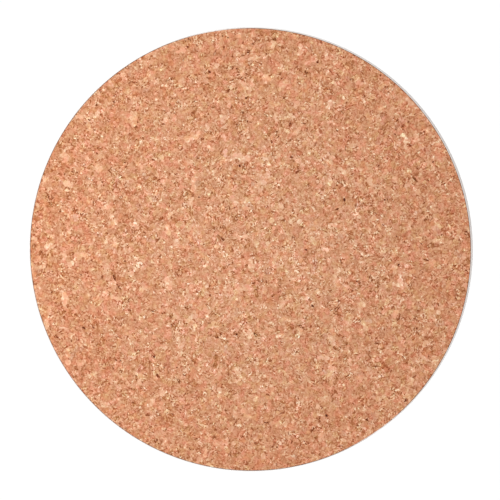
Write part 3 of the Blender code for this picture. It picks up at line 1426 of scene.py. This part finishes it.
    def close_slab(self, bm: BMesh) -> None:
        """Ease the outer arris, and close the sheet with its edge and its back.

        Args:
            bm: The mosaic.
        """
        rim = open_edges(bm)
        for vert in {vert for edge in rim for vert in edge.verts}:
            vert.co.y = self.front + self.arris
        side = bmesh.ops.extrude_edge_only(bm, edges=rim)
        for vert in only(side["geom"], BMVert):
            vert.co.y = self.rear
        bmesh.ops.edgeloop_fill(bm, edges=open_edges(bm))


# ---------------------------------------------------------------- edge and back


@dataclass
class HiddenLayers:
    """The softboard core and the fixing block let into it, which keep the frame's own shapes."""

    core: SoftboardFinish = SoftboardFinish()
    block: BlockFinish = BlockFinish()

    def dress(self) -> None:
        """Give both layers their finish."""
        redress("core_board", self.core.make())
        redress("fixing_block", self.block.make())


@dataclass
class EdgeBand:
    """The white strip bent round the sandwich, its rounded ends butted at the bottom."""

    arris: float = 0.12 * MM
    arris_steps: int = 3
    seam: float = 0.4 * MM
    steps: int = 420
    fitting: Fitting = Fitting("edge_band", Body.BOARD, Slot.BAND)
    finish: BandFinish = BandFinish()

    def __post_init__(self) -> None:
        """Read the strip's section from the frame: it stands just outside the cork."""
        low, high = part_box(self.fitting.node)
        node = frame["nodes"][self.fitting.node]
        self.front, self.rear, self.outer = low.y, high.y, high.x
        self.inner = min(math.hypot(vert.co.x, vert.co.z) for vert in node.data.vertices)

    def build(self) -> Object:
        """Sweep the strip's section round the board.

        Returns:
            The strip.
        """
        middle = ((self.inner + self.outer) / 2, (self.front + self.rear) / 2, 0.0)
        bm = rectangle(middle, self.outer - self.inner, self.rear - self.front, FLAT)
        bevel(bm, list(bm.verts), self.arris, self.arris_steps, Rounding.CORNERS)
        gap = self.seam / self.outer
        spin(bm, list(bm.faces), FULL_TURN - gap, self.steps)
        to_bottom = Matrix.Rotation(QUARTER_TURN + gap / 2, 4, "Y")
        bmesh.ops.transform(bm, matrix=to_bottom, verts=bm.verts)
        return fit("edge_strip", bm, self.fitting, self.finish.make())


@dataclass(frozen=True)
class ScrewHoles:
    """The hanger's two screw holes, which go through the strap and the back panel."""

    screws: tuple[str, ...] = ("hanger_screw_upper", "hanger_screw_lower")
    radius: float = 1.8 * MM
    steps: int = 32

    def fill_outline(self, bm: BMesh, depth: float, thickness: float) -> None:
        """Fill a flat outline all but the holes, and give it its thickness.

        Args:
            bm: The outline.
            depth: The depth that it lies at.
            thickness: How far back the sheet goes from there.
        """
        for screw in self.screws:
            height = sum(corner.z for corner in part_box(screw)) / 2
            here = Matrix.Translation((0.0, depth, height)) @ UPRIGHT
            bmesh.ops.create_circle(bm, radius=self.radius, segments=self.steps, matrix=here)
        bmesh.ops.triangle_fill(bm, use_beauty=True, edges=bm.edges, normal=TO_FRONT)
        rear = bmesh.ops.extrude_face_region(bm, geom=list(bm.faces))
        bmesh.ops.translate(bm, verts=only(rear["geom"], BMVert), vec=(0.0, thickness, 0.0))
        bmesh.ops.recalc_face_normals(bm, faces=bm.faces)


@dataclass
class BackPanel:
    """The hardboard disc, its rear arris eased and its two screw holes drilled."""

    steps: int = 288
    arris: float = 0.3 * MM
    hole_arris: float = 0.1 * MM
    arris_steps: int = 3
    rim_from: float = 0.9
    holes: ScrewHoles = ScrewHoles()
    fitting: Fitting = Fitting("back_panel", Body.BOARD, Slot.HARDBOARD)
    finish: HardboardFinish = HardboardFinish()

    def __post_init__(self) -> None:
        """Read the disc's place from the frame."""
        low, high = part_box(self.fitting.node)
        self.front, self.rear, self.radius = low.y, high.y, high.x

    def build(self) -> Object:
        """Cut the disc, drill it and ease its edges.

        Returns:
            The panel.
        """
        bm = bmesh.new()
        here = Matrix.Translation((0.0, self.front, 0.0)) @ UPRIGHT
        bmesh.ops.create_circle(bm, radius=self.radius, segments=self.steps, matrix=here)
        self.holes.fill_outline(bm, self.front, self.rear - self.front)
        bevel(bm, self.rear_edges(bm, True), self.arris, self.arris_steps)
        bevel(bm, self.rear_edges(bm, False), self.hole_arris, self.arris_steps)
        DiscMap().lay(bm, -TO_FRONT, self.radius, self.front, self.rear)
        return fit("hardboard_back", bm, self.fitting, self.finish.make())

    def rear_edges(self, bm: BMesh, on_rim: bool) -> list[BMEdge]:
        """The sharp edges of the rear side.

        Args:
            bm: The panel.
            on_rim: Whether the outer ones are meant, or those of the holes.

        Returns:
            The edges.
        """
        border = self.radius * self.rim_from
        return [
            edge
            for edge in sharp_edges(bm)
            if all(abs(vert.co.y - self.rear) < WELD for vert in edge.verts)
            and (math.hypot(edge.verts[0].co.x, edge.verts[0].co.z) > border) == on_rim
        ]


# ---------------------------------------------------------------- hanger


@dataclass
class HangerStrap:
    """A pressed strip: a plate with two holes, rolled into a knuckle round the ring's bar."""

    thickness: float = 0.8 * MM
    corner: float = 4.0 * MM
    corner_steps: int = 10
    turn: float = math.radians(290)
    roll_steps: int = 40
    arris: float = 0.12 * MM
    arris_steps: int = 2
    holes: ScrewHoles = ScrewHoles()
    fitting: Fitting = Fitting("hanger_strap", Body.BOARD, Slot.STEEL)

    def __post_init__(self) -> None:
        """Read the strap's place and the ring's axis from the frame."""
        low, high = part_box(self.fitting.node)
        self.width = high.x - low.x
        self.wall_side = low.y
        self.tail = low.z
        _, self.axis_depth, self.axis_height = frame["joints"][0]["pos_m"]
        self.outer_radius = self.axis_depth - self.wall_side
        self.middle_radius = self.outer_radius - self.thickness / 2

    def build(self, steel: Material) -> Object:
        """Cut the flat blank, ease its edges and roll its top end.

        Args:
            steel: The plated finish.

        Returns:
            The strap.
        """
        length = self.axis_height + self.middle_radius * self.turn - self.tail
        centre = (0.0, self.wall_side, self.tail + length / 2)
        bm = rectangle(centre, self.width, length, UPRIGHT)
        corners = [vert for vert in bm.verts if vert.co.z < centre[2]]
        bevel(bm, corners, self.corner, self.corner_steps, Rounding.CORNERS)
        bmesh.ops.delete(bm, geom=list(bm.faces), context="FACES_ONLY")
        self.holes.fill_outline(bm, self.wall_side, self.thickness)
        level = [edge for edge in sharp_edges(bm) if abs(edge.verts[0].co.y - edge.verts[1].co.y) < WELD]
        bevel(bm, level, self.arris, self.arris_steps)
        self.roll(bm)
        return fit("strap_plate", bm, self.fitting, steel)

    def roll(self, bm: BMesh) -> None:
        """Slice the top end into rows and wrap them round the bar, away from the wall side.

        Args:
            bm: The flat plate.
        """
        row_height = self.middle_radius * self.turn / self.roll_steps
        for row in range(self.roll_steps):
            cut = (0.0, 0.0, self.axis_height + row_height * row)
            geometry = list(bm.verts) + list(bm.edges) + list(bm.faces)
            bmesh.ops.bisect_plane(bm, geom=geometry, dist=WELD, plane_co=cut, plane_no=(0.0, 0.0, 1.0))
        for vert in bm.verts:
            past = vert.co.z - self.axis_height
            if past <= 0:
                continue
            angle = HALF_TURN - past / self.middle_radius
            radius = self.outer_radius - (vert.co.y - self.wall_side)
            vert.co.y = self.axis_depth + radius * math.cos(angle)
            vert.co.z = self.axis_height + radius * math.sin(angle)


@dataclass
class HangerRing:
    """The bent wire ring. Its bar turns in the knuckle, where the wire's two ends meet."""

    wire: float = 2.0 * MM
    corner: float = 2.2 * MM
    split: float = 0.08 * MM
    sides: int = 24
    corner_steps: int = 12
    bow_steps: int = 56
    smooth_angle: float = math.radians(50)
    fitting: Fitting = Fitting("hanger_ring", Body.RING, Slot.STEEL)

    def __post_init__(self) -> None:
        """Read the ring's width, drop and axis from the frame."""
        low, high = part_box(self.fitting.node)
        _, self.axis_depth, self.axis_height = frame["joints"][0]["pos_m"]
        self.leg = (high.x - low.x - self.wire) / 2
        self.drop = self.axis_height - low.z - self.wire / 2

    def build(self, steel: Material) -> Object:
        """Draw the wire from one end of the split to the other.

        Args:
            steel: The plated finish.

        Returns:
            The ring.
        """
        bm = bmesh.new()
        start = Matrix.Translation((self.split / 2, self.axis_depth, self.axis_height))
        across = Matrix.Rotation(QUARTER_TURN, 4, "Y")
        bmesh.ops.create_circle(
            bm, cap_ends=True, radius=self.wire / 2, segments=self.sides, matrix=start @ across
        )
        bar_end = self.leg - self.corner
        corner_height = self.axis_height - self.corner
        bow_height = self.axis_height - (self.drop - self.leg)
        along_bar = Vector((bar_end - self.split / 2, 0.0, 0.0))
        up_leg = Vector((0.0, 0.0, corner_height - bow_height))
        tip = self.straight(bm, list(bm.faces), along_bar)
        tip = self.bend(bm, tip, (bar_end, corner_height), QUARTER_TURN, self.corner_steps)
        tip = self.straight(bm, tip, -up_leg)
        tip = self.bend(bm, tip, (0.0, bow_height), HALF_TURN, self.bow_steps)
        tip = self.straight(bm, tip, up_leg)
        tip = self.bend(bm, tip, (-bar_end, corner_height), QUARTER_TURN, self.corner_steps)
        self.straight(bm, tip, along_bar)
        bmesh.ops.remove_doubles(bm, verts=bm.verts, dist=WELD)
        return fit("wire_ring", bm, self.fitting, steel, self.smooth_angle)

    @staticmethod
    def straight(bm: BMesh, tip: list[BMFace], reach: Vector) -> list[BMFace]:
        """Draw the wire on in a straight line.

        Args:
            bm: The ring.
            tip: The wire's present end.
            reach: How far it is drawn, and which way.

        Returns:
            The wire's new end.
        """
        drawn = bmesh.ops.extrude_face_region(bm, geom=tip)["geom"]
        bmesh.ops.translate(bm, verts=only(drawn, BMVert), vec=reach)
        bmesh.ops.delete(bm, geom=tip, context="FACES_ONLY")
        return only(drawn, BMFace)

    def bend(
        self, bm: BMesh, tip: list[BMFace], centre: tuple[float, float], turn: float, steps: int
    ) -> list[BMFace]:
        """Draw the wire on round a bend.

        Args:
            bm: The ring.
            tip: The wire's present end.
            centre: The bend's middle, as (x, z).
            turn: How far it bends, clockwise as seen from the front.
            steps: Its number of facets.

        Returns:
            The wire's new end.
        """
        middle = (centre[0], self.axis_depth, centre[1])
        return only(spin(bm, tip, turn, steps, middle)["geom_last"], BMFace)


@dataclass
class PanScrew:
    """A pan-head wood screw: domed head with a cross recess, threaded shank and sharp point."""

    name: str
    node: str
    driven: float
    head_height: float = 1.6 * MM
    head_round: float = 0.9 * MM
    round_steps: int = 8
    lip_width: float = 0.05 * MM
    lip_height: float = 0.1 * MM
    shank: float = 1.1 * MM
    neck: float = 1.5 * MM
    neck_length: float = 0.6 * MM
    point: float = 2.8 * MM
    steps: int = 48
    thread: float = 1.5 * MM
    thread_root: float = 0.88 * MM
    thread_crest: float = 0.06 * MM
    thread_width: float = 0.484 * MM
    thread_start: float = 2.1 * MM
    thread_stop: float = 0.3 * MM
    thread_steps: int = 24
    pitch: float = 1.1 * MM
    recess_span: float = 3.0 * MM
    recess_width: float = 0.8 * MM
    recess_depth: float = 0.9 * MM
    recess_taper: float = 0.45
    recess_flank: float = 0.8

    def __post_init__(self) -> None:
        """Read the screw's place and size from the frame."""
        low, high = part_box(self.node)
        self.head = (high.x - low.x) / 2
        self.top = high.y
        self.under = high.y - self.head_height
        self.tip = low.y
        self.height = (low.z + high.z) / 2

    def build(self, steel: Material) -> Object:
        """Turn the screw, cut its thread and its recess, and stand it in place.

        Args:
            steel: The plated finish.

        Returns:
            The screw.
        """
        screw = joined(turned(self.profile(), self.steps), self.helix(), Joining.ADD)
        for angle in (0.0, QUARTER_TURN):
            screw = joined(screw, self.wing(angle), Joining.CUT)
        bmesh.ops.remove_doubles(screw, verts=screw.verts, dist=WELD)
        there = Matrix.Translation((0.0, 0.0, self.height)) @ Matrix.Rotation(self.driven, 4, "Y")
        bmesh.ops.transform(screw, matrix=there, verts=screw.verts)
        return fit(self.name, screw, Fitting(self.node, Body.BOARD, Slot.STEEL), steel)

    def profile(self) -> list[tuple[float, float]]:
        """Draw the screw's outline from its tip to the top of its head.

        Returns:
            Its (radius, depth) points.
        """
        neck_start = self.under - self.neck_length
        round_middle = (self.head - self.head_round, self.top - self.head_round)
        return [
            (0.0, self.tip),
            (self.shank, self.tip + self.point),
            (self.shank, neck_start),
            (self.neck, neck_start),
            (self.neck, self.under),
            (self.head - self.lip_width, self.under),
            (self.head, self.under + self.lip_height),
            *arc(round_middle, self.head_round, 0.0, QUARTER_TURN, self.round_steps),
            (0.0, self.top),
        ]

    def helix(self) -> BMesh:
        """Wind the thread up the shank.

        Returns:
            A ridge whose root is buried in the shank.
        """
        bm = bmesh.new()
        start = self.tip + self.thread_start
        reach = self.under - self.thread_stop - start - self.pitch / 2
        turns = reach / self.pitch
        section = [
            bm.verts.new((radius, start + offset, 0.0))
            for radius, offset in (
                (self.thread_root, -self.thread_width / 2),
                (self.thread, -self.thread_crest / 2),
                (self.thread, self.thread_crest / 2),
                (self.thread_root, self.thread_width / 2),
            )
        ]
        spin(bm, [bm.faces.new(section)], turns * FULL_TURN, int(turns * self.thread_steps), rise=reach)
        bmesh.ops.recalc_face_normals(bm, faces=bm.faces)
        return bm

    def wing(self, angle: float) -> BMesh:
        """Shape one tapered slot of the cross recess.

        Args:
            angle: How far it is turned.

        Returns:
            The slot as a solid to cut with.
        """
        bm = bmesh.new()
        size = Matrix.Diagonal((self.recess_span, 2 * self.recess_depth, self.recess_width, 1.0))
        bmesh.ops.create_cube(bm, size=1.0, matrix=size)
        for vert in bm.verts:
            if vert.co.y < 0:
                vert.co.x *= self.recess_taper
                vert.co.z *= self.recess_flank
        place = Matrix.Translation((0.0, self.top, 0.0)) @ Matrix.Rotation(angle, 4, "Y")
        bmesh.ops.transform(bm, matrix=place, verts=bm.verts)
        bmesh.ops.recalc_face_normals(bm, faces=bm.faces)
        return bm


@dataclass
class Hanger:
    """The hanging hardware at the top of the back."""

    finish: SteelFinish = SteelFinish()

    def build(self) -> None:
        """Build the strap, the ring and both screws from one plated finish."""
        steel = self.finish.make()
        HangerStrap().build(steel)
        HangerRing().build(steel)
        PanScrew("pan_screw_upper", "hanger_screw_upper", math.radians(20)).build(steel)
        PanScrew("pan_screw_lower", "hanger_screw_lower", math.radians(67)).build(steel)


@dataclass
class WallBumpers:
    """Four moulded rubber pads that keep the hanger off the wall.

    The dish is given by its slope: each point's share of the dish's radius, and of its depth.
    """

    count: int = 4
    steps: int = 72
    foot: float = 0.25 * MM
    foot_steps: int = 3
    shoulder: float = 1.6 * MM
    shoulder_steps: int = 10
    dish_radius: float = 2.6 * MM
    dish_depth: float = 0.12 * MM
    dish_slope: tuple[tuple[float, float], ...] = ((1.0, 0.0), (0.85, 0.7), (0.6, 1.0), (0.0, 1.0))
    finish: RubberFinish = RubberFinish()

    def build(self) -> None:
        """Turn each pad and stand it in its place."""
        rubber = self.finish.make()
        for number in range(1, self.count + 1):
            node = f"wall_bumper_{number}"
            low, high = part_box(node)
            middle = (low + high) / 2
            bm = self.pad((high.x - low.x) / 2, high.y - low.y)
            place = Matrix.Translation((middle.x, low.y, middle.z))
            bmesh.ops.transform(bm, matrix=place, verts=bm.verts)
            fit(f"rubber_pad_{number}", bm, Fitting(node, Body.BOARD, Slot.RUBBER), rubber)

    def pad(self, radius: float, height: float) -> BMesh:
        """Turn one pad: an eased foot, a rounded shoulder and a shallow dish in its flat top.

        Args:
            radius: The pad's radius.
            height: Its height.

        Returns:
            The pad, standing at the origin.
        """
        foot_middle = (radius - self.foot, self.foot)
        shoulder_middle = (radius - self.shoulder, height - self.shoulder)
        profile = [
            (0.0, 0.0),
            *arc(foot_middle, self.foot, -QUARTER_TURN, QUARTER_TURN, self.foot_steps),
            *arc(shoulder_middle, self.shoulder, 0.0, QUARTER_TURN, self.shoulder_steps),
            *((self.dish_radius * out, height - self.dish_depth * down) for out, down in self.dish_slope),
        ]
        return turned(profile, self.steps)


# ---------------------------------------------------------------- studio


def hang(name: str, data: Light | Camera, towards: Vector) -> Object:
    """Put a lamp or a camera in the scene, looking back along a direction.

    Args:
        name: Its name.
        data: The lamp's or the camera's own data.
        towards: The direction from the board to it.

    Returns:
        The object, at the origin.
    """
    holder = bpy.data.objects.new(name, data)
    holder.rotation_euler = towards.to_track_quat("Z", "Y").to_euler()
    bpy.context.scene.collection.objects.link(holder)
    return holder


@dataclass(frozen=True)
class Sun:
    """A far lamp: its direction from the board, its irradiance and how wide it looks, in degrees."""

    name: str
    towards: Triple
    strength: float
    width: float

    def light(self) -> None:
        """Add the lamp."""
        lamp = bpy.data.lights.new(self.name, "SUN")
        lamp.energy = self.strength
        lamp.angle = math.radians(self.width)
        hang(self.name, lamp, Vector(self.towards))


@dataclass(frozen=True)
class Panel:
    """A soft wide lamp that faces the board, out of the camera's sight."""

    name: str
    place: Triple
    size: tuple[float, float]
    power: float

    def light(self) -> None:
        """Add the lamp."""
        lamp = bpy.data.lights.new(self.name, "AREA")
        lamp.shape = "RECTANGLE"
        lamp.size, lamp.size_y = self.size
        lamp.energy = self.power
        holder = hang(self.name, lamp, Vector(self.place))
        holder.location = self.place
        holder.visible_camera = False
        holder.visible_glossy = False


@dataclass
class Studio:
    """White paper, soft light and a long lens, nearly square to the board's front."""

    floor_drop: float = 0.45
    floor_radius: float = 60.0
    floor_steps: int = 96
    room: Colour = (1.0, 1.0, 1.0)
    room_strength: float = 0.75
    lamps: tuple[Sun | Panel, ...] = (
        Sun("front_sun", (-0.5, -0.75, 0.6), 0.4, 25.0),
        Sun("rear_sun", (0.0, 0.75, 0.9), 1.1, 20.0),
        Panel("front_panel", (-0.19, -0.55, 0.04), (0.6, 0.2), 3.0),
    )
    distance: float = 9.0
    frame_width: float = 0.4503
    sensor: float = 36.0
    near_clip: float = 0.1
    far_clip: float = 200.0
    azimuth: float = math.radians(5.6)
    elevation: float = math.radians(2.3)
    aim: Triple = (0.0, 0.0, -0.35 * MM)

    def build(self) -> None:
        """Set up the paper, the light and the camera."""
        self.lay_paper()
        self.light_room()
        for lamp in self.lamps:
            lamp.light()
        self.aim_camera()

    def lay_paper(self) -> None:
        """Lay the white paper well below the board."""
        bm = bmesh.new()
        bmesh.ops.create_circle(bm, cap_ends=True, radius=self.floor_radius, segments=self.floor_steps)
        bmesh.ops.translate(bm, verts=bm.verts, vec=(0.0, 0.0, cad_box[0].z - self.floor_drop))
        to_object("studio_floor", bm, FloorFinish().make())

    def light_room(self) -> None:
        """Light the room evenly from all round. The camera sees it plain white."""
        world = bpy.data.worlds.new("studio")
        bpy.context.scene.world = world
        world.use_nodes = True
        nodes = Nodes(world.node_tree)
        background = nodes.tree.nodes["Background"]
        nodes.feed(background.inputs["Color"], self.room)
        nodes.feed(background.inputs["Strength"], self.room_strength)
        lit = Value(nodes, background.outputs[0])
        seen = nodes.node("ShaderNodeBackground", {}, {"Color": self.room, "Strength": 1.0})
        to_camera = nodes.node("ShaderNodeLightPath", {}, {}, "Is Camera Ray")
        choice = nodes.node("ShaderNodeMixShader", {}, {0: to_camera, 1: lit, 2: seen})
        nodes.feed(nodes.tree.nodes["World Output"].inputs["Surface"], choice)

    def aim_camera(self) -> None:
        """Stand the camera far off, a little to the right of the board and above its middle."""
        lens = bpy.data.cameras.new("main_camera")
        lens.sensor_width = self.sensor
        lens.lens = self.sensor * self.distance / self.frame_width
        lens.clip_start = self.near_clip
        lens.clip_end = self.far_clip
        level = math.cos(self.elevation)
        across, ahead = math.sin(self.azimuth) * level, -math.cos(self.azimuth) * level
        away = Vector((across, ahead, math.sin(self.elevation)))
        camera = hang("main_camera", lens, away)
        camera.location = Vector(self.aim) + away * self.distance
        bpy.context.scene.camera = camera
        bpy.context.scene.view_settings.view_transform = "Standard"


def main() -> None:
    """Build the studio and the board, piece by piece."""
    logging.basicConfig(level=logging.INFO, format="%(name)s: %(message)s")
    Studio().build()
    CorkFace().build()
    HiddenLayers().dress()
    EdgeBand().build()
    BackPanel().build()
    Hanger().build()
    WallBumpers().build()


if __name__ == "__main__":
    main()
